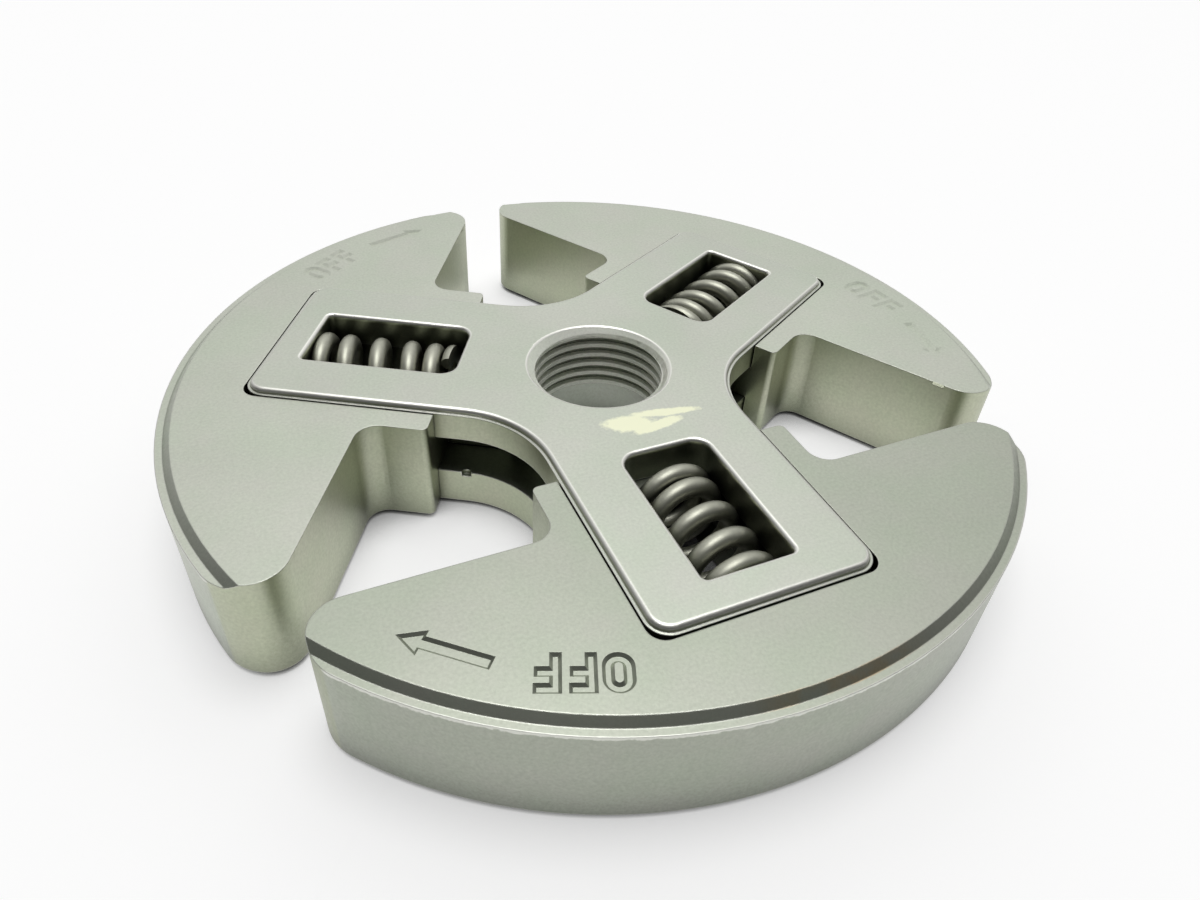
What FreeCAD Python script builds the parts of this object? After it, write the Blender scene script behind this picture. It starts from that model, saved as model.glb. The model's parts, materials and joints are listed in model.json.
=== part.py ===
import FreeCAD, Part
import math
import os
import Sketcher

# Centrifugal clutch of a chainsaw: a spider that screws onto the crankshaft, and shoes that slide
# outwards on its arms against compression springs. Millimetres and degrees.
# Frame: Z is the axis of the threaded bore, with the origin at mid-thickness. The marked face looks
# along +Z, and the first arm points along -Y.

ARMS = 3
FIRST_ARM_ANGLE = -90.0
ARM_STEP = 360.0 / ARMS

# Driving dimensions: name, value, meaning.
SIZES = [
    # Spider
    ("spider_height", "10.0", "height of the spider over both plates"),
    ("upper_plate", "2.85", "thickness of the plate on the marked face"),
    ("slot_height", "3.5", "slot between the two plates"),
    ("thread_diameter", "12.0", "nominal diameter of the crankshaft thread"),
    ("thread_depth", "6.3", "threaded length from the marked face"),
    ("register_relief", "0.3", "radial relief of the plain bore below the thread"),
    ("bore_round", "0.35", "rounding of the bore at the marked face"),
    ("core_wall", "2.2", "wall of the core between the plates"),
    ("arm_width", "17.3", "width of an arm"),
    ("arm_corner", "1.75", "outline radius at the corners of an arm"),
    ("arm_crotch", "8.5", "outline radius between two arms"),
    ("edge_land", "0.2", "flat step around each face"),
    ("edge_drop", "0.45", "depth of that step below its face"),
    ("edge_round", "0.4", "rounding from each face to its step"),
    ("window_margin", "3.7", "from the core to the inner end of a window"),
    ("window_lip", "0.26", "how much narrower a window is than its spring"),
    ("window_inner_corner", "1.3", "corner radius at the inner end of a window"),
    ("window_outer_corner", "0.4", "corner radius at the outer end of a window"),
    ("window_round", "0.35", "rounding of the edges of a window"),
    ("end_bar", "3.05", "bar between a window and the end of its arm"),
    ("nick_radius", "0.4", "small nick in the edge of the lower plate"),
    ("nick_depth", "0.4", "depth of the nick"),
    ("nick_distance", "9.9", "place of the nick along its arm"),
    # Shoes
    ("shoe_height", "9.0", "height of a shoe"),
    ("rim_radius", "35.35", "radius of the friction face at rest"),
    ("rim_wall", "7.2", "shoe material beyond the end of an arm"),
    ("land_width", "0.55", "flat step along the upper edge of the rim"),
    ("land_drop", "0.47", "depth of that step below the marked face"),
    ("rim_chamfer", "0.6", "width of the slope from the marked face to the step"),
    ("tip_angle", "52.25", "from the middle of a shoe to the end of its rim"),
    ("tip_length", "4.16", "radial depth of a wing at its tip"),
    ("tip_radius", "2.6", "outline radius of a wing tip, on the side of the arm"),
    ("tip_share", "0.9", "share of the rest of the tip that its rounding to the rim takes"),
    ("nose_length", "5.2", "reach of the cheeks inwards of the wings"),
    ("nose_corner", "0.5", "outline radius at the end of a cheek"),
    ("notch_radius", "1.7", "outline radius between a cheek and a wing"),
    ("cheek", "2.03", "thickness of a cheek beside an arm"),
    ("recess_corner", "1.3", "corner radius of the recess for an arm"),
    ("tongue_bar", "1.2", "web beside the spring pocket, inwards of the cheeks"),
    ("seat_step", "1.0", "from the inner end of a window to the spring seat"),
    # Clearances
    ("web_gap", "0.1", "between a web and each plate"),
    ("side_gap", "0.12", "between an arm and a cheek"),
    ("end_gap", "0.15", "between the end of an arm and its recess at rest"),
    ("core_gap", "0.3", "between the core and a web at rest"),
    ("spring_gap", "0.2", "between a spring and the sides of its pocket"),
    ("seat_gap", "0.02", "between a spring and each of its seats"),
    # Springs
    ("spring_diameter", "7.4", "outer diameter of a spring"),
    ("wire_diameter", "1.5", "wire of a spring"),
    ("coil_pitch", "2.6", "wanted distance between two turns"),
    ("spring_lift", "0.6", "how far a spring sits above the middle of the slot"),
    # Marks that show which way the spider unscrews
    ("mark_depth", "0.2", "depth of the sunk marks"),
    ("mark_lean", "0.22", "how far the walls of the marks lean inwards"),
    ("mark_inset", "3.95", "from the rim to the middle of the marks"),
    ("letter_height", "2.9", "height of a letter"),
    ("letter_width", "1.7", "width of a letter"),
    ("letter_stroke", "0.75", "stroke of a letter"),
    ("letter_pitch", "2.1", "distance between two letters"),
    ("letter_bar", "1.65", "length of the middle bar of the letter F"),
    ("letter_bar_drop", "0.08", "how far that bar lies below mid-height"),
    ("ring_width", "2.0", "width of the letter O"),
    ("word_from_tip", "26.7", "from the tip of the rim to the middle of the word"),
    ("word_tilt", "4.0", "turn of the word against the radius"),
    ("arrow_from_tip", "11.2", "from the tip of the rim to the middle of the arrow"),
    ("arrow_length", "6.3", "length of the arrow"),
    ("arrow_head", "1.8", "length of the arrow's head"),
    ("arrow_width", "2.0", "width of the arrow's head"),
    ("arrow_shaft", "1.0", "width of the arrow's shaft"),
]

# Dimensions that follow from the driving ones, in an order in which each can be worked out.
DERIVED = [
    ("slot_top", "spider_height / 2 - upper_plate"),
    ("slot_bottom", "slot_top - slot_height"),
    ("lower_plate", "spider_height / 2 + slot_bottom"),
    ("thread_radius", "thread_diameter / 2"),
    ("register_radius", "thread_radius + register_relief"),
    ("register_depth", "spider_height - thread_depth"),
    ("core_radius", "thread_radius + core_wall"),
    ("arm_half", "arm_width / 2"),
    ("face_half", "arm_half - edge_land"),
    ("face_crotch", "arm_crotch + edge_land"),
    ("face_corner", "arm_corner - edge_land"),
    ("recess_end", "rim_radius - rim_wall"),
    ("arm_end", "recess_end - end_gap"),
    ("face_end", "arm_end - edge_land"),
    ("recess_half", "arm_half + side_gap"),
    ("window_inner", "core_radius + window_margin"),
    ("window_outer", "arm_end - end_bar"),
    ("window_half", "(spring_diameter - window_lip) / 2"),
    ("web_top", "slot_top - web_gap"),
    ("web_bottom", "slot_bottom + web_gap"),
    ("web_height", "web_top - web_bottom"),
    ("upper_recess_depth", "shoe_height / 2 - web_top"),
    ("lower_recess_depth", "shoe_height / 2 + web_bottom"),
    ("web_radius", "core_radius + core_gap"),
    ("pocket_half", "spring_diameter / 2 + spring_gap"),
    ("pocket_inner", "window_inner + seat_step"),
    ("pocket_outer", "window_outer + end_gap"),
    ("tongue_half", "pocket_half + tongue_bar"),
    ("tip_side", "rim_radius * sin(tip_angle)"),
    ("rim_end", "rim_radius * cos(tip_angle)"),
    ("wing_edge", "rim_end - tip_length"),
    ("rim_end_radius", "tip_share * (tip_length - tip_radius) / tan((90 deg - tip_angle) / 2)"),
    ("nose_end", "wing_edge - nose_length"),
    ("nose_half", "recess_half + cheek"),
    ("coil_radius", "(spring_diameter - wire_diameter) / 2"),
    ("spring_start", "pocket_inner + seat_gap"),
    ("spring_level", "(slot_top + slot_bottom) / 2 + spring_lift"),
    ("spring_length", "window_outer - pocket_inner - 2 * seat_gap"),
    ("coil_rise", "spring_length - wire_diameter"),
    ("coil_turns", "max(1; round(coil_rise / coil_pitch))"),
    ("mark_radius", "rim_radius - mark_inset"),
    ("word_angle", "word_from_tip - tip_angle"),
    ("arrow_angle", "arrow_from_tip - tip_angle"),
]
ANGLES = ("tip_angle", "word_from_tip", "word_tilt", "arrow_from_tip")
ON_AXIS = "0"


def make_sheet(doc):
    """Spreadsheet with the driving dimensions first and the ones that follow below them."""
    sheet = doc.addObject("Spreadsheet::Sheet", "dims")
    row = 0
    for alias, value, meaning in SIZES:
        row += 1
        sheet.set(f"A{row}", meaning)
        sheet.set(f"B{row}", f"={value} deg" if alias in ANGLES else value)
        sheet.setAlias(f"B{row}", alias)
    for alias, formula in DERIVED:
        row += 1
        sheet.set(f"B{row}", f"={formula}")
        sheet.setAlias(f"B{row}", alias)
    doc.recompute()
    return sheet


def bind(thing, name, formula):
    """Ties one property of a thing to a formula over the sheet."""
    thing.setExpression(name, formula)


def plane(body, role):
    """One of a body's own origin planes or axes."""
    return next(item for item in body.Origin.OriginFeatures if item.Role == role)


def new_sketch(body, name, height=None, role="XY_Plane"):
    """Sketch on an origin plane of its body, lifted to a height where one is given."""
    sketch = body.newObject("Sketcher::SketchObject", name)
    sketch.AttachmentSupport = [(plane(body, role), "")]
    sketch.MapMode = "FlatFace"
    if height:
        bind(sketch, "AttachmentOffset.Base.z", height)
    return sketch


def number(thing, formula):
    """Value of a formula, as a plain number."""
    value = thing.evalExpression(formula)
    return getattr(value, "Value", value)


def place_point(sketch, geometry, end, x=None, y=None):
    """Holds one end of a line or arc at formulas for x and y."""
    for kind, formula in (("DistanceX", x), ("DistanceY", y)):
        if formula:
            constraint = Sketcher.Constraint(kind, -1, 1, geometry, end, number(sketch, formula))
            bind(sketch, f"Constraints[{sketch.addConstraint(constraint)}]", formula)


def add_polygon(sketch, corners):
    """Closed outline of straight lines through corners given as pairs of formulas."""
    points = [FreeCAD.Vector(number(sketch, x), number(sketch, y), 0) for x, y in corners]
    lines = [sketch.addGeometry(Part.LineSegment(start, end), False)
             for start, end in zip(points, points[1:] + points[:1])]
    for line, following in zip(lines, lines[1:] + lines[:1]):
        sketch.addConstraint(Sketcher.Constraint("Coincident", line, 2, following, 1))
    for line, (x, y) in zip(lines, corners):
        place_point(sketch, line, 1, x, y)
    return lines


def add_rectangle(sketch, left, right, half):
    """Rectangle from left to right that reaches half to each side of the X axis."""
    add_polygon(sketch, [(left, f"-{half}"), (right, f"-{half}"), (right, half), (left, half)])


def add_circle(sketch, radius, x=None, y=None):
    """Circle at the origin, or at formulas for its centre."""
    centre = FreeCAD.Vector(number(sketch, x) if x else 0, number(sketch, y) if y else 0, 0)
    circle = sketch.addGeometry(
        Part.Circle(centre, FreeCAD.Vector(0, 0, 1), number(sketch, radius)), False)
    constraint = Sketcher.Constraint("Radius", circle, number(sketch, radius))
    bind(sketch, f"Constraints[{sketch.addConstraint(constraint)}]", radius)
    if x or y:
        place_point(sketch, circle, 3, x, y)
    else:
        sketch.addConstraint(Sketcher.Constraint("Coincident", circle, 3, -1, 1))


def add_feature(body, kind, name, sketch, length=None):
    """Pad or pocket of a sketch; without a length it goes right through."""
    feature = body.newObject(f"PartDesign::{kind}", name)
    feature.Profile = sketch
    if length:
        bind(feature, "Length", length)
    else:
        feature.Type = "ThroughAll"
    body.Tip = feature
    return feature


def fillet(body, name, edges, radius):
    """Rounds the picked edges of the body's latest feature."""
    base = body.Tip
    feature = body.newObject("PartDesign::Fillet", name)
    feature.Base = (base, edges)
    bind(feature, "Radius", radius)
    body.Tip = feature
    body.Document.recompute()


def upright_edges(body, corners):
    """Names of the straight edges along Z that stand at the given corners."""
    body.Document.recompute()
    names = []
    for index, edge in enumerate(body.Tip.Shape.Edges, 1):
        ends = [vertex.Point for vertex in edge.Vertexes]
        if len(ends) == 2 and math.hypot(ends[0].x - ends[1].x, ends[0].y - ends[1].y) < 1e-6:
            if any(math.hypot(ends[0].x - x, ends[0].y - y) < 1e-3 for x, y in corners):
                names.append(f"Edge{index}")
    return names


def turned(corners):
    """The corners of the first arm, repeated on every arm."""
    result = []
    for arm in range(ARMS):
        angle = math.radians(arm * ARM_STEP)
        result += [(x * math.cos(angle) - y * math.sin(angle), x * math.sin(angle) + y * math.cos(angle))
                   for x, y in corners]
    return result


def both_sides(x, y):
    return [(x, y), (x, -y)]


def face_edges(body, height, outer):
    """Edges around the flat face at a height: its outer outline, or its holes."""
    body.Document.recompute()
    shape = body.Tip.Shape
    face = next(face for face in shape.Faces
                if abs(face.BoundBox.ZMin - height) < 1e-6 and abs(face.BoundBox.ZMax - height) < 1e-6)
    wires = [wire for wire in face.Wires if wire.isSame(face.OuterWire) == outer]
    wanted = [edge for wire in wires for edge in wire.Edges]
    return [f"Edge{index}" for index, edge in enumerate(shape.Edges, 1)
            if any(edge.isSame(other) for other in wanted)]


def pattern_round(body, name, features):
    """Repeats features on every arm."""
    pattern = body.newObject("PartDesign::PolarPattern", name)
    pattern.Originals = features
    pattern.Axis = (plane(body, "Z_Axis"), [""])
    pattern.Angle = 360
    pattern.Occurrences = ARMS
    body.Tip = pattern
    return pattern


def turn_to_arm(thing, arm):
    """Turns a sub-part that was built along X to its arm."""
    rotation = FreeCAD.Rotation(FreeCAD.Vector(0, 0, 1), FIRST_ARM_ANGLE + arm * ARM_STEP)
    thing.Placement = FreeCAD.Placement(FreeCAD.Vector(), rotation)


def make_spider(doc):
    """Two star plates on a core, with a window for a spring in every arm and the threaded bore."""
    body = doc.addObject("PartDesign::Body", "spider")
    size = doc.dims

    core = new_sketch(body, "core_outline", "-dims.spider_height / 2")
    add_circle(core, "dims.core_radius")
    add_feature(body, "Pad", "core", core, "dims.spider_height")

    arms = []
    for side, arm_level, face_level in (
            ("lower", "-dims.spider_height / 2 + dims.edge_drop", "-dims.spider_height / 2"),
            ("upper", "dims.slot_top", "dims.spider_height / 2 - dims.edge_drop")):
        outline = new_sketch(body, f"{side}_arm_outline", arm_level)
        add_rectangle(outline, "-dims.thread_radius", "dims.arm_end", "dims.arm_half")
        thickness = f"dims.{side}_plate - dims.edge_drop"
        arms.append(add_feature(body, "Pad", f"{side}_arm", outline, thickness))
        raised = new_sketch(body, f"{side}_face_outline", face_level)
        add_rectangle(raised, "-dims.thread_radius", "dims.face_end", "dims.face_half")
        arms.append(add_feature(body, "Pad", f"{side}_face", raised, "dims.edge_drop"))
    pattern_round(body, "arms", arms)

    half_step = math.radians(ARM_STEP / 2)
    for part in ("arm", "face"):
        end = getattr(size, f"{part}_end")
        half = getattr(size, f"{part}_half")
        crotch = half / math.sin(half_step)
        crotches = turned([(crotch * math.cos(half_step), crotch * math.sin(half_step))])
        fillet(body, f"{part}_crotches", upright_edges(body, crotches), f"dims.{part}_crotch")
        corners = turned(both_sides(end, half))
        fillet(body, f"{part}_corners", upright_edges(body, corners), f"dims.{part}_corner")
    for side, height in (("upper", size.spider_height / 2), ("lower", -size.spider_height / 2)):
        fillet(body, f"{side}_edge", face_edges(body, height, True), "dims.edge_round")

    window = new_sketch(body, "window_outline", "dims.spider_height / 2")
    add_rectangle(window, "dims.window_inner", "dims.window_outer", "dims.window_half")
    pattern_round(body, "windows", [add_feature(body, "Pocket", "window", window)])
    for end in ("inner", "outer"):
        corners = turned(both_sides(getattr(size, f"window_{end}"), size.window_half))
        fillet(body, f"window_{end}_corners", upright_edges(body, corners), f"dims.window_{end}_corner")
    for side, height in (("upper", size.spider_height / 2), ("lower", -size.spider_height / 2)):
        fillet(body, f"{side}_window_edges", face_edges(body, height, False), "dims.window_round")

    register = new_sketch(body, "register_outline", "-dims.spider_height / 2 + dims.register_depth")
    add_circle(register, "dims.register_radius")
    add_feature(body, "Pocket", "register", register, "dims.register_depth")
    bore = new_sketch(body, "bore_outline", "dims.spider_height / 2")
    add_circle(bore, "dims.thread_radius")
    add_feature(body, "Pocket", "bore", bore)
    mouth = [name for name in face_edges(body, size.spider_height / 2, False)
             if abs(body.Tip.Shape.getElement(name).Length - 2 * math.pi * size.thread_radius) < 1e-3]
    fillet(body, "bore_mouth", mouth, "dims.bore_round")

    nick = new_sketch(body, "nick_outline")
    nick.AttachmentOffset = FreeCAD.Placement(
        FreeCAD.Vector(), FreeCAD.Rotation(FreeCAD.Vector(0, 0, 1), 2 * ARM_STEP))
    bind(nick, "AttachmentOffset.Base.z", "dims.slot_bottom")
    add_circle(nick, "dims.nick_radius", "dims.nick_distance", "dims.arm_half")
    add_feature(body, "Pocket", "nick", nick, "dims.nick_depth")

    turn_to_arm(body, 0)
    return body


def add_shoe_outline(sketch):
    """Outline of a shoe: the arc of the rim, the ends of the wings, and the cheeks."""
    half = [("dims.rim_end", "dims.tip_side"), ("dims.wing_edge", "dims.tip_side"),
            ("dims.wing_edge", "dims.nose_half"), ("dims.nose_end", "dims.nose_half")]
    corners = half + [(x, f"-{y}") for x, y in reversed(half)]
    points = [FreeCAD.Vector(number(sketch, x), number(sketch, y), 0) for x, y in corners]
    lines = [sketch.addGeometry(Part.LineSegment(start, end), False)
             for start, end in zip(points, points[1:])]
    for line, following in zip(lines, lines[1:]):
        sketch.addConstraint(Sketcher.Constraint("Coincident", line, 2, following, 1))
    place_point(sketch, lines[0], 1, None, corners[0][1])
    for line, (x, y) in zip(lines[1:], corners[1:]):
        place_point(sketch, line, 1, x, y)
    place_point(sketch, lines[-1], 2, None, corners[-1][1])
    middle = FreeCAD.Vector(number(sketch, "dims.rim_radius"), 0, 0)
    rim = sketch.addGeometry(Part.Arc(points[-1], middle, points[0]), False)
    sketch.addConstraint(Sketcher.Constraint("Coincident", rim, 3, -1, 1))
    sketch.addConstraint(Sketcher.Constraint("Coincident", rim, 1, lines[-1], 2))
    sketch.addConstraint(Sketcher.Constraint("Coincident", rim, 2, lines[0], 1))
    constraint = Sketcher.Constraint("Radius", rim, middle.x)
    bind(sketch, f"Constraints[{sketch.addConstraint(constraint)}]", "dims.rim_radius")


def add_ring(sketch, centre, width, height):
    """Upright outline with round ends, for the letter that is a ring."""
    x, y = centre
    radius = number(sketch, f"{width} / 2")
    reach = number(sketch, f"({height} - {width}) / 2")
    middle = FreeCAD.Vector(number(sketch, x), number(sketch, y), 0)
    right, up = FreeCAD.Vector(radius, 0, 0), FreeCAD.Vector(0, reach, 0)
    crown = FreeCAD.Vector(0, reach + radius, 0)
    top = sketch.addGeometry(Part.Arc(middle + up + right, middle + crown, middle + up - right), False)
    left = sketch.addGeometry(Part.LineSegment(middle + up - right, middle - up - right), False)
    bottom = sketch.addGeometry(Part.Arc(middle - up - right, middle - crown, middle - up + right), False)
    side = sketch.addGeometry(Part.LineSegment(middle - up + right, middle + up + right), False)
    for first, second in ((top, left), (left, bottom), (bottom, side), (side, top)):
        sketch.addConstraint(Sketcher.Constraint("Tangent", first, 2, second, 1))
    place_point(sketch, top, 3, x, f"{y} + ({height} - {width}) / 2")
    place_point(sketch, bottom, 3, x, f"{y} - ({height} - {width}) / 2")
    constraint = Sketcher.Constraint("Radius", top, radius)
    bind(sketch, f"Constraints[{sketch.addConstraint(constraint)}]", f"{width} / 2")


def add_letter_f(sketch, left):
    """Letter F whose stem starts at a formula for its left edge."""
    top, foot = "dims.letter_height / 2", "-dims.letter_height / 2"
    top_bar = "dims.letter_height / 2 - dims.letter_stroke"
    bar_top = "dims.letter_stroke / 2 - dims.letter_bar_drop"
    bar_foot = "-dims.letter_stroke / 2 - dims.letter_bar_drop"
    stem, bar, right = [f"{left} + dims.letter_{size}" for size in ("stroke", "bar", "width")]
    add_polygon(sketch, [
        (left, foot), (stem, foot), (stem, bar_foot), (bar, bar_foot), (bar, bar_top), (stem, bar_top),
        (stem, top_bar), (right, top_bar), (right, top), (left, top)])


def mark_sketch(body, name, angle, turn):
    """Sketch on the marked face whose Y axis points outwards at an angle from the shoe's middle."""
    sketch = new_sketch(body, name, "dims.shoe_height / 2")
    bind(sketch, "AttachmentOffset.Base.x", f"dims.mark_radius * cos({angle})")
    bind(sketch, "AttachmentOffset.Base.y", f"dims.mark_radius * sin({angle})")
    bind(sketch, "AttachmentOffset.Rotation.Axis.z", "1")
    bind(sketch, "AttachmentOffset.Rotation.Angle", f"{angle} + {turn} - 90 deg")
    body.Document.recompute()
    return sketch


def sink_mark(body, name, sketch):
    """Pocket whose walls lean inwards to its floor."""
    feature = add_feature(body, "Pocket", name, sketch, "dims.mark_depth")
    bind(feature, "TaperAngle", "-atan(dims.mark_lean / dims.mark_depth)")


def add_marks(body):
    """The word OFF and the arrow that shows which way the spider unscrews."""
    word = mark_sketch(body, "word_outline", "dims.word_angle", "dims.word_tilt")
    ring = ("-dims.letter_pitch", ON_AXIS)
    add_ring(word, ring, "dims.ring_width", "dims.letter_height")
    add_letter_f(word, "-dims.letter_width / 2")
    add_letter_f(word, "dims.letter_pitch - dims.letter_width / 2")
    sink_mark(body, "word", word)

    eye = mark_sketch(body, "eye_outline", "dims.word_angle", "dims.word_tilt")
    add_ring(eye, ring, "(dims.ring_width - 2 * dims.letter_stroke)",
             "(dims.letter_height - 2 * dims.letter_stroke)")
    island = add_feature(body, "Pad", "eye", eye, "dims.mark_depth")
    island.Reversed = True
    bind(island, "TaperAngle", "atan(dims.mark_lean / dims.mark_depth)")

    arrow = mark_sketch(body, "arrow_outline", "dims.arrow_angle", "0 deg")
    tip, tail = "dims.arrow_length / 2", "-dims.arrow_length / 2"
    neck = "dims.arrow_length / 2 - dims.arrow_head"
    add_polygon(arrow, [
        (tail, "-dims.arrow_shaft / 2"), (neck, "-dims.arrow_shaft / 2"), (neck, "-dims.arrow_width / 2"),
        (tip, ON_AXIS), (neck, "dims.arrow_width / 2"), (neck, "dims.arrow_shaft / 2"),
        (tail, "dims.arrow_shaft / 2")])
    sink_mark(body, "arrow", arrow)


def make_shoe(doc, arm):
    """Shoe with two wings, recesses for both plates of its arm, and a web with the spring pocket."""
    body = doc.addObject("PartDesign::Body", f"shoe_{arm + 1}")
    size = doc.dims

    outline = new_sketch(body, "shoe_outline", "-dims.shoe_height / 2")
    add_shoe_outline(outline)
    add_feature(body, "Pad", "blank", outline, "dims.shoe_height")
    for name, corners, radius in (
            ("wing_tips", both_sides(size.wing_edge, size.tip_side), "dims.tip_radius"),
            ("rim_ends", both_sides(size.rim_end, size.tip_side), "dims.rim_end_radius"),
            ("notches", both_sides(size.wing_edge, size.nose_half), "dims.notch_radius"),
            ("cheek_ends", both_sides(size.nose_end, size.nose_half), "dims.nose_corner")):
        fillet(body, name, upright_edges(body, corners), radius)

    for side, height in (("upper", "dims.shoe_height / 2"), ("lower", "dims.web_bottom")):
        recess = new_sketch(body, f"{side}_recess_outline", height)
        add_rectangle(recess, "dims.core_radius", "dims.recess_end", "dims.recess_half")
        add_feature(body, "Pocket", f"{side}_recess", recess, f"dims.{side}_recess_depth")
    corners = both_sides(size.recess_end, size.recess_half)
    fillet(body, "recess_corners", upright_edges(body, corners), "dims.recess_corner")

    tongue = new_sketch(body, "tongue_outline", "dims.web_bottom")
    add_rectangle(tongue, "dims.thread_radius", "dims.pocket_outer", "dims.tongue_half")
    add_feature(body, "Pad", "tongue", tongue, "dims.web_height")
    hollow = new_sketch(body, "tongue_end", "dims.web_top")
    add_circle(hollow, "dims.web_radius")
    add_feature(body, "Pocket", "tongue_hollow", hollow, "dims.web_height")
    pocket = new_sketch(body, "pocket_outline", "dims.web_top")
    add_rectangle(pocket, "dims.pocket_inner", "dims.pocket_outer", "dims.pocket_half")
    add_feature(body, "Pocket", "spring_pocket", pocket, "dims.web_height")

    step = new_sketch(body, "rim_step_outline", role="XZ_Plane")
    face, floor = "dims.shoe_height / 2", "dims.shoe_height / 2 - dims.land_drop"
    outside = "dims.rim_radius + dims.land_width"
    add_polygon(step, [
        ("dims.rim_radius - dims.land_width - dims.rim_chamfer", face),
        ("dims.rim_radius - dims.land_width", floor), (outside, floor), (outside, face)])
    groove = body.newObject("PartDesign::Groove", "rim_step")
    groove.Profile = step
    groove.ReferenceAxis = (step, ["V_Axis"])
    groove.Angle = 360
    body.Tip = groove

    add_marks(body)
    turn_to_arm(body, arm)
    return body


def make_spring(doc, arm):
    """Compression spring that lies along its arm, between the shoe's seat and the end bar."""
    path = doc.addObject("Part::Helix", f"spring_path_{arm + 1}")
    bind(path, "Radius", "dims.coil_radius")
    bind(path, "Height", "dims.coil_rise")
    bind(path, "Pitch", "dims.coil_rise / dims.coil_turns")
    wire = doc.addObject("Part::Circle", f"spring_wire_{arm + 1}")
    bind(wire, "Radius", "dims.wire_diameter / 2")
    bind(wire, "Placement.Base.x", "dims.coil_radius")
    bind(wire, "Placement.Rotation.Axis.x", "1")
    bind(wire, "Placement.Rotation.Axis.z", "0")
    bind(wire, "Placement.Rotation.Angle", "90 deg")
    spring = doc.addObject("Part::Sweep", f"spring_{arm + 1}")
    spring.Sections = [wire]
    spring.Spine = (path, [])
    spring.Solid = True
    spring.Frenet = True
    doc.recompute()

    angle = FIRST_ARM_ANGLE + arm * ARM_STEP
    along = FreeCAD.Rotation(FreeCAD.Vector(0, 0, 1), angle)
    lying = FreeCAD.Rotation(FreeCAD.Vector(0, 1, 0), 90)
    start = FreeCAD.Vector(doc.dims.spring_start + doc.dims.wire_diameter / 2, 0, doc.dims.spring_level)
    spring.Placement = FreeCAD.Placement(along.multVec(start), along.multiply(lying))
    return spring


def check(doc, pieces):
    """Stops where a feature failed, a cut removed nothing, or a piece is not one sound solid."""
    for item in doc.Objects:
        if {"Invalid", "Error"} & set(item.State):
            raise RuntimeError(f"{item.Label} failed: {item.State}")
        if item.TypeId in ("PartDesign::Pocket", "PartDesign::Groove"):
            if item.BaseFeature.Shape.Volume - item.Shape.Volume < 1e-3:
                raise RuntimeError(f"{item.Label} cuts nothing")
    for piece in pieces:
        if piece.Shape.isNull() or not piece.Shape.isValid() or len(piece.Shape.Solids) != 1:
            raise RuntimeError(f"{piece.Label} is not one sound solid")


def main():
    doc = FreeCAD.newDocument("clutch")
    make_sheet(doc)
    pieces = [make_spider(doc)]
    pieces += [make_shoe(doc, arm) for arm in range(ARMS)]
    pieces += [make_spring(doc, arm) for arm in range(ARMS)]
    doc.recompute()
    check(doc, pieces)
    os.makedirs("parts", exist_ok=True)
    for piece in pieces:
        piece.Shape.exportStep(f"parts/{piece.Label}.step")
        print(f"{piece.Label}: {piece.Shape.Volume:.1f} mm3")


main()
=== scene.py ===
import json
import math

import bpy
from mathutils import Matrix, Vector


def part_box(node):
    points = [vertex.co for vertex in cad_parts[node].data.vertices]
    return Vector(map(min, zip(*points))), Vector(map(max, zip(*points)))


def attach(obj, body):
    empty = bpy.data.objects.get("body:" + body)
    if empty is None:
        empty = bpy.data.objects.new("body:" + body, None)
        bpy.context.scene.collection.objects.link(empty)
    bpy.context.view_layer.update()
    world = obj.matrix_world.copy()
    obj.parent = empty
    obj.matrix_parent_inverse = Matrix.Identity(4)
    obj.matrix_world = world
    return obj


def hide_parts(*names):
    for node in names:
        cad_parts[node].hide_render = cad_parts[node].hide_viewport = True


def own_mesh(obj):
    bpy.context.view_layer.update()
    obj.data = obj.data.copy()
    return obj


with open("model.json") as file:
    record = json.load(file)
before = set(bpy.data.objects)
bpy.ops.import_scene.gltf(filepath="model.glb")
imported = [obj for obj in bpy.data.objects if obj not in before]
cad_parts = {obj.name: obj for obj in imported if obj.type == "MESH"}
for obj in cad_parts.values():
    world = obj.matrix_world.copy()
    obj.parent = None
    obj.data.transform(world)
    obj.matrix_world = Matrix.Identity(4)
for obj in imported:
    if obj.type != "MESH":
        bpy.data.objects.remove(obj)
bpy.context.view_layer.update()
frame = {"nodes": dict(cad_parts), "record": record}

# Looks of a chainsaw's centrifugal clutch: satin sintered steel, dark coil springs and a threaded bore.
# Metres, in the frame of the solids: the bore stands along Z, and the first arm points along -Y.

MM = 0.001
ARMS = 3
ARM_STEP = math.radians(360 / ARMS)
FULL_TURN = math.radians(360)
QUARTER_TURN = math.radians(90)
CUT_TOLERANCE = 0.0001 * MM
FLOOR_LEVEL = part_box("spider")[0].z
FLOOR_SIZE = 8.0
FACE_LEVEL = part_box("spider")[1].z
SHOE_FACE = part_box("shoe_1")[1].z
RIM_RADIUS = -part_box("shoe_1")[0].y

# Springs, closed and ground flat at both ends: length, place and width come from the first solid.
SPRING_LOW, SPRING_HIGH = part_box("spring_1")
SPRING_WIDTH = SPRING_HIGH.x - SPRING_LOW.x
SPRING_LENGTH = SPRING_HIGH.y - SPRING_LOW.y
SPRING_LEVEL = (SPRING_LOW.z + SPRING_HIGH.z) / 2
WIRE = 1.5 * MM
WIRE_SIDES = 16
STEPS_PER_TURN = 40
END_PITCH = 1.6 * MM
INNER_END_TURNS = 1.7
ACTIVE_TURNS = 2.8
OUTER_END_TURNS = 0.9
FIRST_CRESTS = (0.78, 0.25, 1.04)  # turns from the inner end of each spring to its first crest
SPRING_SMOOTH = math.radians(40)

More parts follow.
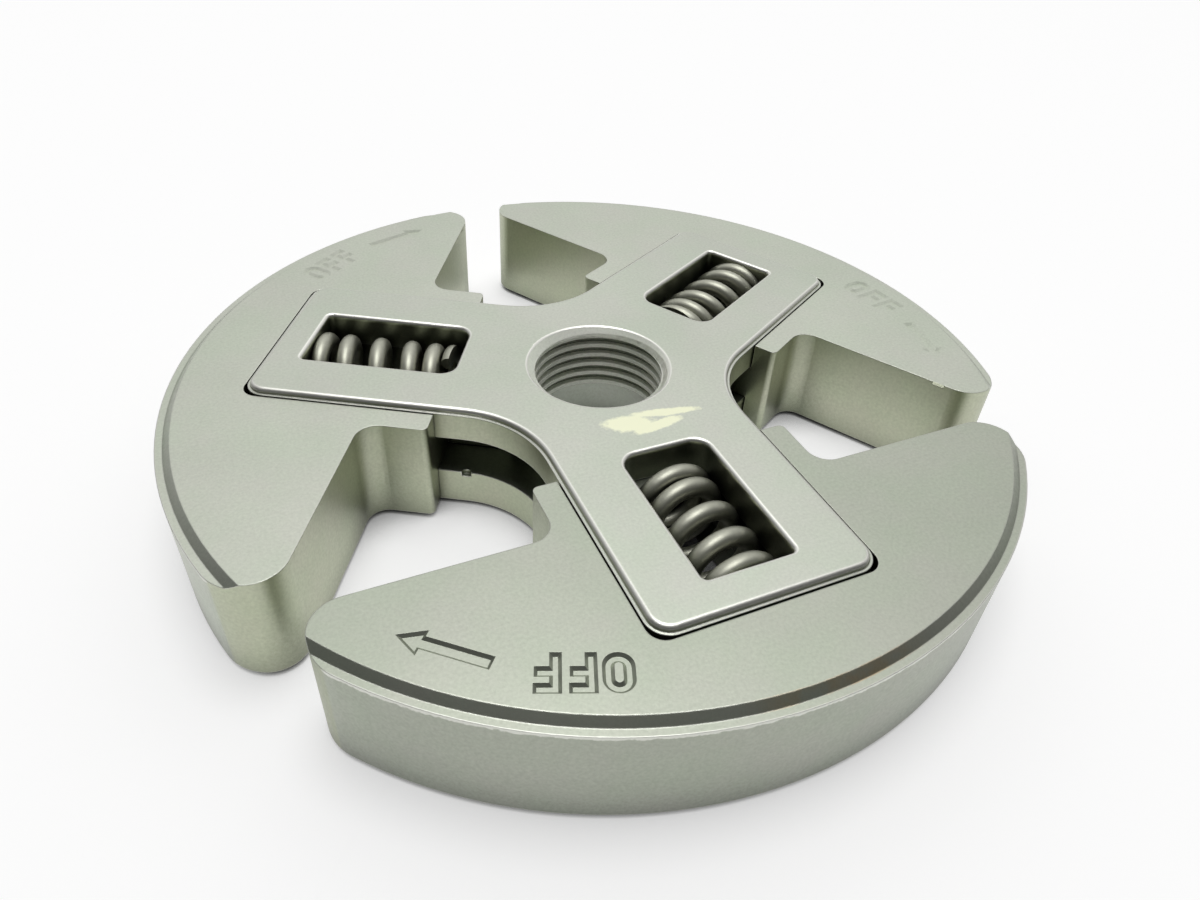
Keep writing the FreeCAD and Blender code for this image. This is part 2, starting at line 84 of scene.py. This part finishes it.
# Thread of the bore, left-handed, with a countersunk collar at its mouth.
THREAD = next(mount for mount in frame["record"]["mounts"] if mount["name"] == "crank_thread")
THREAD_RADIUS = THREAD["dims"]["r_mm"] * MM
THREAD_PITCH = 1.0 * MM
THREAD_HEIGHT = 0.5 * MM
THREAD_SINK = 0.05 * MM  # how far ridge and collar reach into the wall
THREAD_BASE = 0.95 * MM
THREAD_CREST = 0.36 * MM
THREAD_DEPTH = 6.15 * MM
THREAD_STEPS = 60
THREAD_SMOOTH = math.radians(35)
MOUTH_DROP = 0.2 * MM  # from the face down to where the countersink meets the wall
MOUTH_LEVEL = FACE_LEVEL - MOUTH_DROP
MOUTH_SIDES = THREAD_STEPS * 2
COLLAR_RISE = 0.1 * MM
CONE_MARGIN = 0.01 * MM

# Places on the solids that the finishes follow.
SLOT_BOTTOM, SLOT_TOP = -1.35 * MM, 2.15 * MM
SLOT_MARGIN = 0.02 * MM
WINDOW_INNER, WINDOW_OUTER, WINDOW_HALF = 11.75 * MM, 25.0 * MM, 3.65 * MM
SHADE_TOP = FACE_LEVEL - 0.3 * MM  # where the painted shade in the windows and the bore starts
WINDOW_SHADE_FULL = FACE_LEVEL - 0.5 * MM
BORE_SHADE_FULL = FACE_LEVEL - 0.6 * MM
BORE_REACH, HUB_START = THREAD_RADIUS * 1.15, THREAD_RADIUS * 1.2
RIM_FACE = RIM_RADIUS - 0.1 * MM, RIM_RADIUS - 0.05 * MM
RIM_FOOT = FLOOR_LEVEL + 0.5 * MM
LAND_LEVEL = SHOE_FACE - 0.47 * MM
BURR_DROP = 0.3 * MM
BURR_FADE = 0.1 * MM
MARK_BAND = 29.4 * MM, 33.4 * MM  # reach of the marks from the bore's axis
MARK_SIDE = -24.6 * MM, -9.0 * MM  # reach of the marks beside the arm's axis
MARK_LEVELS = SHOE_FACE - 0.35 * MM, SHOE_FACE - 0.25 * MM
SLOPE_BAND = RIM_RADIUS - 1.2 * MM, RIM_RADIUS - 0.5 * MM
STAIN_SIDE = 1.0 * MM
STAIN_REACH = 7.0 * MM, 3.0 * MM

# Dab of marking paint on the hub: middle, half length and half width of each brush stroke in mm, and turn.
PAINT_STROKES = ((-1.1, -8.5, 2.4, 1.1, -14), (2.2, -8.05, 3.0, 0.5, -10), (0.9, -9.4, 2.5, 0.55, 8))

# Colours, and tints that colours are multiplied by.
# The front shoe's colour is a darker copy of the far shoes' steel: painted shade.
SHADED_FRONT_SHOE_COLOUR = (0.46, 0.488, 0.415)
FAR_SHOE_COLOUR = (0.575, 0.605, 0.525)
SPIDER_COLOUR = (0.57, 0.6, 0.525)
LIT_THREAD_COLOUR = (0.95, 0.97, 0.88)
WORN_AND_HIGHLIGHT_COLOUR = (0.9, 0.9, 0.84)
BURR_COLOUR = (0.8, 0.81, 0.74)
PAINT_COLOUR = (0.98, 1.0, 0.74)
DARK_WIRE_COLOUR = (0.38, 0.385, 0.32)
LIGHT_WIRE_COLOUR = (0.54, 0.545, 0.46)
WHITE = (1, 1, 1)
COOL_TINT = (0.98, 1.005, 0.97)
WARM_TINT = (1.02, 1.0, 1.01)
STAIN_TINT = (1.12, 0.88, 0.66)
# Tints of painted shade for upright walls: darker and yellower than the level faces.
SHOE_WALL_SHADE = (0.86, 0.86, 0.76)
SPIDER_WALL_SHADE = (0.85, 0.85, 0.74)

# Grain of the finishes, in features per metre.
STEEL_GRAIN, STEEL_BLOTCHES, STEEL_CLOUDS = 4200.0, 170.0, 70.0
BURR_GRAIN, STAIN_GRAIN, PAINT_GRAIN, WIRE_GRAIN = 1500.0, 500.0, 1300.0, 2500.0

# Camera of the photograph, which is 1200 by 900 pixels.
IMAGE_WIDTH = 1200
FOCAL_PIXELS = 866.0
SENSOR = 36.0
VIEW_TURN = math.radians(-26.48)
VIEW_ELEVATION = math.radians(39.61)
VIEW_ROLL = math.radians(3.85)
VIEW_DISTANCE = 66.34 * MM
VIEW_TARGET = Vector((-4.35 * MM, -10.09 * MM, SHOE_FACE))


def deselect():
    bpy.ops.object.select_all(action="DESELECT")


def start_piece(name):
    """The primitive that was just added gets its name, and its place goes into its mesh."""
    piece = bpy.context.object
    piece.name = name
    piece.data.name = name
    bpy.ops.object.transform_apply(location=True, rotation=True, scale=True)
    bpy.ops.object.mode_set(mode="EDIT")
    bpy.ops.mesh.select_all(action="SELECT")
    return piece


def cut_off(place, normal):
    """Cuts the piece at a plane, keeps what lies behind the plane and closes the cut."""
    bpy.ops.mesh.select_all(action="SELECT")
    bpy.ops.mesh.bisect(plane_co=place, plane_no=normal, use_fill=True, clear_outer=True,
                        threshold=CUT_TOLERANCE)


def end_piece():
    """Turns the faces outwards and leaves edit mode."""
    bpy.ops.mesh.select_all(action="SELECT")
    bpy.ops.mesh.normals_make_consistent(inside=False)
    bpy.ops.object.mode_set(mode="OBJECT")


def wind(axis, turn, ways):
    """Extrudes what is selected round an axis, by the same turn and by its own way in every step."""
    for way in ways:
        bpy.ops.mesh.extrude_region_move(TRANSFORM_OT_translate={"value": way})
        bpy.ops.transform.rotate(value=turn, orient_axis=axis, center_override=(0, 0, 0))


def coil_rise(turn):
    """Rise of the wire along the arm after some turns: close turns at the ends, open ones between."""
    end_rise = (INNER_END_TURNS + OUTER_END_TURNS) * END_PITCH
    active_pitch = (SPRING_LENGTH - end_rise) / ACTIVE_TURNS
    inner = min(turn, INNER_END_TURNS)
    active = min(max(turn - INNER_END_TURNS, 0), ACTIVE_TURNS)
    outer = max(turn - INNER_END_TURNS - ACTIVE_TURNS, 0)
    return (inner + outer) * END_PITCH + active * active_pitch


def wind_spring():
    """Spring along the first arm, wound from a disc of wire round the arm's axis."""
    deselect()
    bpy.ops.mesh.primitive_circle_add(
        vertices=WIRE_SIDES, radius=WIRE / 2, fill_type="NGON",
        location=(0, 0, (SPRING_WIDTH - WIRE) / 2), rotation=(0, QUARTER_TURN, 0))
    piece = start_piece("spring_coil")
    steps = round((INNER_END_TURNS + ACTIVE_TURNS + OUTER_END_TURNS) * STEPS_PER_TURN)
    rises = [coil_rise(step / STEPS_PER_TURN) for step in range(steps + 1)]
    wind("Y", FULL_TURN / STEPS_PER_TURN, [(0, low - high, 0) for low, high in zip(rises, rises[1:])])
    cut_off((0, 0, 0), (0, 1, 0))
    cut_off((0, -SPRING_LENGTH, 0), (0, -1, 0))
    end_piece()
    bpy.ops.object.shade_smooth_by_angle(angle=SPRING_SMOOTH)
    return piece


def place_springs(finish):
    """A spring in every arm, turned about its own axis and riding on the spider."""
    pattern = wind_spring()
    inner_end = Matrix.Translation((0, SPRING_HIGH.y, SPRING_LEVEL))
    for arm, first_crest in enumerate(FIRST_CRESTS):
        number = arm + 1
        spring = pattern.copy()
        spring.data = pattern.data.copy()
        spring.name = f"coil_{number}"
        spring.data.name = spring.name
        bpy.context.collection.objects.link(spring)
        to_arm = Matrix.Rotation(arm * ARM_STEP, 4, "Z")
        spring.data.transform(to_arm @ inner_end @ Matrix.Rotation(first_crest * FULL_TURN, 4, "Y"))
        dress(spring, finish)
        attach(spring, "spider")
        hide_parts(f"spring_{number}")
        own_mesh(spring)
    bpy.data.objects.remove(pattern)


def wind_thread():
    """Ridge of the left-hand thread on the wall of the bore, wound from its profile."""
    middle = THREAD_RADIUS + (THREAD_SINK - THREAD_HEIGHT) / 2
    deselect()
    bpy.ops.mesh.primitive_plane_add(
        size=1, location=(middle, 0, FACE_LEVEL + THREAD_PITCH / 2), rotation=(QUARTER_TURN, 0, 0))
    bpy.context.object.scale = (THREAD_HEIGHT + THREAD_SINK, THREAD_BASE, 1)
    ridge = start_piece("bore_thread")
    bpy.ops.object.mode_set(mode="OBJECT")
    for corner in ridge.data.vertices:
        corner.select = corner.co.x < middle
    bpy.ops.object.mode_set(mode="EDIT")
    bpy.ops.mesh.select_mode(type="VERT")
    bpy.ops.transform.resize(value=(1, 1, THREAD_CREST / THREAD_BASE))
    bpy.ops.mesh.select_all(action="SELECT")
    steps = (math.ceil(THREAD_DEPTH / THREAD_PITCH) + 1) * THREAD_STEPS
    wind("Z", -FULL_TURN / THREAD_STEPS, [(0, 0, -THREAD_PITCH / THREAD_STEPS)] * steps)
    cut_off((0, 0, FACE_LEVEL - THREAD_DEPTH), (0, 0, -1))
    end_piece()
    return ridge


def turn_collar():
    """Disc in the mouth of the bore, which the countersink opens to a collar."""
    deselect()
    bpy.ops.mesh.primitive_cylinder_add(
        vertices=MOUTH_SIDES, radius=THREAD_RADIUS + COLLAR_RISE + THREAD_SINK,
        depth=THREAD_HEIGHT + COLLAR_RISE,
        location=(0, 0, MOUTH_LEVEL + (COLLAR_RISE - THREAD_HEIGHT) / 2))
    collar = start_piece("bore_mouth")
    end_piece()
    return collar


def add_thread(finish):
    """Thread and collar, opened by a cone that widens from the ridge's crest to the wall and on above."""
    rings = wind_thread(), turn_collar()
    crest_radius = THREAD_RADIUS - THREAD_HEIGHT
    reach = THREAD_HEIGHT + THREAD_PITCH * 2
    deselect()
    bpy.ops.mesh.primitive_cone_add(
        vertices=MOUTH_SIDES, radius1=crest_radius - CONE_MARGIN, radius2=crest_radius + reach,
        depth=reach + CONE_MARGIN,
        location=(0, 0, MOUTH_LEVEL - THREAD_HEIGHT + (reach - CONE_MARGIN) / 2))
    cone = bpy.context.object
    for ring in rings:
        deselect()
        bpy.context.view_layer.objects.active = ring
        mouth = ring.modifiers.new("mouth", "BOOLEAN")
        mouth.operation = "DIFFERENCE"
        mouth.object = cone
        bpy.ops.object.modifier_apply(modifier=mouth.name)
        ring.select_set(True)
        bpy.ops.object.shade_smooth_by_angle(angle=THREAD_SMOOTH)
        dress(ring, finish)
        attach(ring, "spider")
    bpy.data.objects.remove(cone)


class Nodes:
    """Adds nodes to one node tree."""

    def __init__(self, tree):
        self.tree = tree

    def feed(self, socket, value):
        """Gives a socket a value, or links it to another node's socket."""
        if isinstance(value, bpy.types.NodeSocket):
            self.tree.links.new(value, socket)
        else:
            socket.default_value = value

    def add(self, kind, settings=None, **inputs):
        """New node; _ in the name of an input stands for a space."""
        node = self.tree.nodes.new(f"ShaderNode{kind}")
        for name, value in (settings or {}).items():
            setattr(node, name, value)
        for name, value in inputs.items():
            self.feed(node.inputs[name.replace("_", " ")], value)
        return node

    def operate(self, kind, operation, *values):
        """First output of a Math or VectorMath node that carries the result."""
        node = self.add(kind, {"operation": operation})
        for socket, value in zip(node.inputs, values):
            self.feed(socket, value)
        return next(output for output in node.outputs if output.enabled)

    def calculate(self, operation, *values):
        return self.operate("Math", operation, *values)

    def combine(self, operation, *vectors):
        return self.operate("VectorMath", operation, *vectors)

    def ramp(self, value, start, end, low=0.0, high=1.0):
        """Runs from low at the start to high at the end, and stays level beyond both."""
        return self.add("MapRange", Value=value, From_Min=start, From_Max=end, To_Min=low,
                        To_Max=high).outputs["Result"]

    def scale_mask(self, mask, clear, covered):
        """One value where the mask is 0, and another where it is 1."""
        return self.ramp(mask, 0, 1, clear, covered)

    def between(self, value, low, high):
        """1 where a value lies between two bounds, and 0 elsewhere."""
        return self.calculate("COMPARE", value, (low + high) / 2, (high - low) / 2)

    def overlap(self, *masks):
        """1 where all the masks are 1."""
        common = masks[0]
        for mask in masks[1:]:
            common = self.calculate("MULTIPLY", common, mask)
        return common

    def noise(self, place, scale, detail=3.0):
        return self.add("TexNoise", Vector=place, Scale=scale, Detail=detail, Roughness=0.6).outputs["Fac"]

    def normal(self):
        return self.add("NewGeometry").outputs["Normal"]

    def upward(self, vector):
        """Share of a vector that points up."""
        return self.add("SeparateXYZ", Vector=vector).outputs["Z"]

    def openness(self, reach, samples=8):
        """1 in the open, and less where other faces lie within reach."""
        return self.add("AmbientOcclusion", {"samples": samples}, Distance=reach).outputs["AO"]

    def layer(self, below, above, mask):
        """One colour over another, where the mask lets it show."""
        return self.add("MixRGB", Fac=mask, Color1=below, Color2=above).outputs["Color"]

    def shade(self, colour, factor):
        """Colour made darker or lighter by a factor."""
        return self.add("VectorMath", {"operation": "SCALE"}, Vector=colour, Scale=factor).outputs["Vector"]


def new_material(name):
    material = bpy.data.materials.new(name)
    material.use_nodes = True
    nodes = Nodes(material.node_tree)
    shader = material.node_tree.nodes["Principled BSDF"].inputs
    place = nodes.add("TexCoord").outputs["Object"]
    return material, nodes, shader, place


def opaque(colour, tint=WHITE):
    return (*[part * share for part, share in zip(colour, tint)], 1)


def dress(piece, material):
    piece.data.materials.clear()
    piece.data.materials.append(material)


def base_steel(nodes, shader, place, colour, roughness):
    """Tumbled sintered steel: fine grain and faint blotches. Gives the colour and the grain."""
    grain = nodes.noise(place, STEEL_GRAIN)
    blotch = nodes.ramp(nodes.noise(place, STEEL_BLOTCHES), 0.35, 0.65)
    tinted = nodes.layer(opaque(colour, COOL_TINT), opaque(colour, WARM_TINT), blotch)
    cloudy = nodes.shade(tinted, nodes.ramp(nodes.noise(place, STEEL_CLOUDS), 0.3, 0.7, 0.965, 1.035))
    grained = nodes.shade(cloudy, nodes.ramp(grain, 0.3, 0.7, 0.93, 1.06))
    nodes.feed(shader["Roughness"], nodes.ramp(grain, 0.3, 0.7, roughness + 0.04, roughness - 0.04))
    nodes.feed(shader["Metallic"], 1.0)
    return grained, grain


def arm_place(nodes, place):
    """Distance along the nearest arm, distance to its side, height, and distance from the bore's axis."""
    x, y, height = nodes.add("SeparateXYZ", Vector=place).outputs
    turn = nodes.calculate("ARCTAN2", x, nodes.calculate("MULTIPLY", y, -1.0))
    turn = nodes.calculate("WRAP", turn, ARM_STEP / 2, -ARM_STEP / 2)
    radius = nodes.combine("LENGTH", nodes.combine("MULTIPLY", place, (1, 1, 0)))
    along = nodes.calculate("MULTIPLY", radius, nodes.calculate("COSINE", turn))
    side = nodes.calculate("MULTIPLY", radius, nodes.calculate("SINE", turn))
    return along, side, height, radius


def wall_mask(nodes, normal):
    """1 on upright walls, and 0 on level faces."""
    return nodes.ramp(nodes.calculate("ABSOLUTE", nodes.upward(normal)), 0.6, 0.3)


def wear_and_highlight_edges(nodes, colour, radius, share):
    """A share of bright worn metal and painted highlight along the edges. Gives the colour and the normal
    with the edges rounded.
    """
    rounded = nodes.add("Bevel", {"samples": 6}, Radius=radius).outputs["Normal"]
    match = nodes.combine("DOT_PRODUCT", rounded, nodes.normal())
    worn_and_highlit = nodes.calculate("MULTIPLY", nodes.ramp(match, 0.995, 0.93), share)
    return nodes.layer(colour, opaque(WORN_AND_HIGHLIGHT_COLOUR), worn_and_highlit), rounded


def shade_walls(nodes, colour, tint, bare):
    """Painted shade on the upright walls, apart from a bare one: darker and yellower than the level faces.
    """
    wall = wall_mask(nodes, nodes.normal())
    wall_shaded = nodes.combine("MULTIPLY", colour, tint)
    return nodes.layer(colour, wall_shaded, nodes.overlap(wall, nodes.scale_mask(bare, 1.0, 0.0)))


def shade_hollows(nodes, colour, reach, darkest, open_share=0.45, shut_share=0.05):
    """Painted shade in hollows up to a reach wide: darkest where they are shut, and none where they are
    open.
    """
    return nodes.shade(colour, nodes.ramp(nodes.openness(reach), shut_share, open_share, darkest, 1.0))


def finish_steel(nodes, shader, colour, grain, normal):
    nodes.feed(shader["Base Color"], colour)
    relief = nodes.add("Bump", Strength=0.35, Distance=0.02 * MM, Height=grain, Normal=normal)
    nodes.feed(shader["Normal"], relief.outputs["Normal"])


def burr_and_shade_rim(nodes, place, colour, height, rim):
    """Ragged bright burr along the top of the rim, and painted shade on the rim face below it, darker
    towards its foot.
    """
    ragged = nodes.calculate("MULTIPLY_ADD", nodes.noise(place, BURR_GRAIN), BURR_DROP * 2, height)
    burr = nodes.ramp(ragged, LAND_LEVEL, LAND_LEVEL + BURR_FADE)
    colour = nodes.layer(colour, opaque(BURR_COLOUR), nodes.overlap(rim, burr))
    # Painted shade on the rim face, darker towards its foot.
    painted_rim_shade = nodes.shade(colour, nodes.ramp(height, RIM_FOOT, 0.0, 0.74, 0.88))
    return nodes.layer(colour, painted_rim_shade, rim)


def stain_slope(nodes, place, colour, side, radius, share):
    """Brown stain on the slope of the rim, outside the end of the arm."""
    from_stain = nodes.calculate("ABSOLUTE", nodes.calculate("SUBTRACT", side, STAIN_SIDE))
    stain = nodes.overlap(nodes.between(radius, *SLOPE_BAND), nodes.ramp(from_stain, *STAIN_REACH),
                          nodes.ramp(nodes.noise(place, STAIN_GRAIN), 0.35, 0.6))
    stained = nodes.combine("MULTIPLY", colour, STAIN_TINT)
    return nodes.layer(colour, stained, nodes.calculate("MULTIPLY", stain, share))


def shoe_steel(name, base_colour, mark_wear, mark_shade, stain_share):
    """Steel of a shoe: painted shade on the walls, a ragged bright burr, painted shade on the rim face and
    a brown stain along the rim, marks with painted shade on their walls and dulled by flattened normals,
    and painted shade in hollows.
    """
    material, nodes, shader, place = new_material(name)
    colour, grain = base_steel(nodes, shader, place, base_colour, roughness=0.4)
    _, side, height, radius = arm_place(nodes, place)
    rim = nodes.ramp(radius, *RIM_FACE)
    colour = shade_walls(nodes, colour, SHOE_WALL_SHADE, rim)
    colour = burr_and_shade_rim(nodes, place, colour, height, rim)

    marks = nodes.overlap(nodes.between(radius, *MARK_BAND), nodes.between(side, *MARK_SIDE),
                          nodes.ramp(height, *MARK_LEVELS))
    edge_radius = nodes.scale_mask(marks, 0.12 * MM, 0.03 * MM)
    # Bright worn metal and painted highlight along the edges, none in the marks.
    colour, rounded = wear_and_highlight_edges(nodes, colour, edge_radius, nodes.scale_mask(marks, 0.6, 0.0))
    colour = stain_slope(nodes, place, colour, side, radius, stain_share)
    # Painted shade on the sloped walls of the marks.
    painted_shade = nodes.overlap(marks, nodes.ramp(nodes.upward(rounded), 0.97, 0.85))
    colour = nodes.shade(colour, nodes.scale_mask(painted_shade, 1.0, mark_shade))
    normal = nodes.layer(rounded, (0, 0, 1, 1), nodes.calculate("MULTIPLY", marks, mark_wear))

    # Painted shade on walls that face nearby parts, and in narrow gaps.
    wall = nodes.overlap(wall_mask(nodes, rounded), nodes.scale_mask(marks, 1.0, 0.0))
    deep_wall_shade = shade_hollows(nodes, colour, 6.0 * MM, darkest=0.1, open_share=0.75)
    colour = nodes.layer(colour, deep_wall_shade, wall)
    colour = shade_hollows(nodes, colour, 0.5 * MM, darkest=0.5)
    finish_steel(nodes, shader, colour, grain, normal)
    return material


def paint_mask(nodes, place):
    """Ragged brush strokes on the upper face of the hub."""
    ragged = nodes.calculate("MULTIPLY_ADD", nodes.noise(place, PAINT_GRAIN, 4.0), 0.9, -0.45)
    strokes = []
    for x, y, length, width, turn in PAINT_STROKES:
        local = nodes.add("Mapping", {"vector_type": "TEXTURE"}, Vector=place,
                          Location=(x * MM, y * MM, FACE_LEVEL), Rotation=(0, 0, math.radians(turn)),
                          Scale=(length * MM, width * MM, MM)).outputs["Vector"]
        distance = nodes.combine("LENGTH", local)
        strokes.append(nodes.ramp(nodes.calculate("ADD", distance, ragged), 1.05, 0.75))
    return nodes.calculate("MAXIMUM", nodes.calculate("MAXIMUM", strokes[0], strokes[1]), strokes[2])


def spider_steel():
    """Steel of the spider: painted shade on its walls, painted highlight and bright worn metal on the
    rounded edges, painted shade in the windows, bore, slots and hollows, and a dab of paint.
    """
    material, nodes, shader, place = new_material("spider_steel")
    colour, grain = base_steel(nodes, shader, place, SPIDER_COLOUR, roughness=0.38)
    along, side, height, radius = arm_place(nodes, place)
    bore = nodes.overlap(nodes.ramp(radius, HUB_START, BORE_REACH),
                         nodes.ramp(height, SHADE_TOP, BORE_SHADE_FULL))
    colour = shade_walls(nodes, colour, SPIDER_WALL_SHADE, bore)
    colour, rounded = wear_and_highlight_edges(nodes, colour, 0.15 * MM, 1.0)
    # Painted highlight, with some bright worn metal, on sloped faces, which are the rounded fillets.
    upright = nodes.upward(nodes.normal())
    fillet_highlight = nodes.overlap(nodes.ramp(upright, 0.2, 0.5), nodes.ramp(upright, 1.0, 0.96))
    colour = nodes.layer(colour, opaque(WORN_AND_HIGHLIGHT_COLOUR), fillet_highlight)

    window = nodes.overlap(nodes.between(side, -WINDOW_HALF, WINDOW_HALF),
                           nodes.between(along, WINDOW_INNER, WINDOW_OUTER),
                           nodes.ramp(height, SHADE_TOP, WINDOW_SHADE_FULL))
    slot = nodes.overlap(nodes.between(height, SLOT_BOTTOM - SLOT_MARGIN, SLOT_TOP + SLOT_MARGIN),
                         nodes.ramp(radius, BORE_REACH, HUB_START))
    # Painted shade in the windows, the bore and the slot between the plates.
    painted_shade = nodes.scale_mask(window, 0.0, 0.7)
    for mask, share in ((bore, 0.55), (slot, 0.4)):
        painted_shade = nodes.calculate("MAXIMUM", painted_shade, nodes.scale_mask(mask, 0.0, share))
    colour = nodes.shade(colour, nodes.scale_mask(painted_shade, 1.0, 0.3))
    # Painted shade in hollows up to 3 mm wide.
    colour = shade_hollows(nodes, colour, 3.0 * MM, darkest=0.35)

    paint = paint_mask(nodes, place)
    nodes.feed(shader["Metallic"], nodes.scale_mask(paint, 1.0, 0.5))
    finish_steel(nodes, shader, nodes.layer(colour, opaque(PAINT_COLOUR), paint), grain, rounded)
    return material


def lit_thread_steel():
    """Freshly cut steel of the thread, half matte, its colour painted lighter than the hub's steel: painted
    highlight on the flanks.
    """
    material, nodes, shader, place = new_material("lit_thread_steel")
    colour, _ = base_steel(nodes, shader, place, LIT_THREAD_COLOUR, roughness=0.5)
    nodes.feed(shader["Metallic"], 0.25)
    nodes.feed(shader["Base Color"], colour)
    return material


def spring_wire():
    """Dark spring wire with faint drawing marks, and painted shade where other faces lie near."""
    material, nodes, shader, place = new_material("spring_wire")
    tone = nodes.layer(opaque(DARK_WIRE_COLOUR), opaque(LIGHT_WIRE_COLOUR), nodes.noise(place, WIRE_GRAIN))
    shaded_wire = shade_hollows(nodes, tone, 2.0 * MM, darkest=0.06, open_share=0.6, shut_share=0.15)
    nodes.feed(shader["Base Color"], shaded_wire)
    nodes.feed(shader["Metallic"], 1.0)
    nodes.feed(shader["Roughness"], 0.46)
    return material


def lay_floor():
    """White floor that keeps the lamps' soft shadow, with painted shadow where the object crowds it, and
    shows white to the camera and in reflections.
    """
    deselect()
    bpy.ops.mesh.primitive_plane_add(size=FLOOR_SIZE, location=(0, 0, FLOOR_LEVEL))
    floor = bpy.context.object
    floor.name = "floor"
    material, nodes, shader, _ = new_material("white_floor")
    nodes.feed(shader["Roughness"], 1.0)
    nodes.feed(shader["Specular IOR Level"], 0.0)
    nodes.feed(shader["Emission Color"], opaque(WHITE))
    path = nodes.add("LightPath").outputs
    mirrored = nodes.calculate("MAXIMUM", path["Is Glossy Ray"], path["Is Transmission Ray"])
    seen = nodes.calculate("MAXIMUM", path["Is Camera Ray"], mirrored)
    # Painted shadow: the floor's colour and glow grow darker where the object crowds it.
    open_floor = nodes.openness(8.0 * MM, samples=12)
    nodes.feed(shader["Base Color"], nodes.ramp(open_floor, 0.1, 0.4, 0.1, 0.6))
    shadowed_glow = nodes.ramp(open_floor, 0.15, 0.5, 0.0, 0.52)
    nodes.feed(shader["Emission Strength"], nodes.calculate("MULTIPLY", seen, shadowed_glow))
    dress(floor, material)


def towards(turn, elevation):
    """Direction by its turn from the camera's side and its elevation, in degrees."""
    angle = VIEW_TURN + math.radians(turn)
    lift = math.radians(elevation)
    return Vector((math.sin(angle) * math.cos(lift), -math.cos(angle) * math.cos(lift), math.sin(lift)))


def add_soft_box(name, turn, elevation, size, radiance, distance=1.5):
    """Round soft box of a given brightness that looks at the object."""
    place = towards(turn, elevation)
    area = math.pi * (size / 2) ** 2
    bpy.ops.object.light_add(type="AREA", location=place * distance)
    lamp = bpy.context.object
    lamp.name = name
    lamp.data.shape = "DISK"
    lamp.data.size = size
    lamp.data.energy = radiance * math.pi * area
    lamp.rotation_euler = place.to_track_quat("Z", "Y").to_euler()


def light_scene():
    """Room that is dim on the camera's side and bright behind and above, with a soft box overhead."""
    world = bpy.data.worlds.new("studio")
    bpy.context.scene.world = world
    world.use_nodes = True
    nodes = Nodes(world.node_tree)
    background = world.node_tree.nodes["Background"].inputs
    direction = nodes.add("TexCoord").outputs["Generated"]
    behind = nodes.combine("DOT_PRODUCT", direction, tuple(towards(180, 0)))
    from_behind = nodes.ramp(behind, -0.12, 0.95, 0.1, 1.18)
    from_above = nodes.ramp(nodes.upward(direction), 0.05, 0.85, 0.35, 1.25)
    nodes.feed(background["Strength"], nodes.calculate("MULTIPLY", from_behind, from_above))
    nodes.feed(background["Color"], opaque(WHITE))
    add_soft_box("overhead_soft_box", turn=180, elevation=86, size=1.0, radiance=4.0)


def set_camera():
    data = bpy.data.cameras.new("photo_camera")
    data.sensor_width = SENSOR
    data.sensor_fit = "HORIZONTAL"
    data.lens = FOCAL_PIXELS / IMAGE_WIDTH * SENSOR
    data.clip_start = 2 * MM
    data.clip_end = 20
    camera = bpy.data.objects.new("photo_camera", data)
    bpy.context.collection.objects.link(camera)
    turn = (Matrix.Rotation(VIEW_TURN, 4, "Z") @ Matrix.Rotation(QUARTER_TURN - VIEW_ELEVATION, 4, "X")
            @ Matrix.Rotation(VIEW_ROLL, 4, "Z"))
    place = VIEW_TARGET + turn.to_3x3() @ Vector((0, 0, VIEW_DISTANCE))
    camera.matrix_world = Matrix.Translation(place) @ turn
    bpy.context.scene.camera = camera


dress(frame["nodes"]["spider"], spider_steel())
shaded_front_finish = shoe_steel("shaded_front_shoe_steel", SHADED_FRONT_SHOE_COLOUR,
                          mark_wear=0.0, mark_shade=0.85, stain_share=0.8)
dress(frame["nodes"]["shoe_1"], shaded_front_finish)
far_finish = shoe_steel("far_shoe_steel", FAR_SHOE_COLOUR,
                        mark_wear=0.8, mark_shade=0.95, stain_share=0.0)
for name in ("shoe_2", "shoe_3"):
    dress(frame["nodes"][name], far_finish)
place_springs(spring_wire())
add_thread(lit_thread_steel())
lay_floor()
light_scene()
set_camera()
bpy.context.scene.view_settings.view_transform = "Standard"
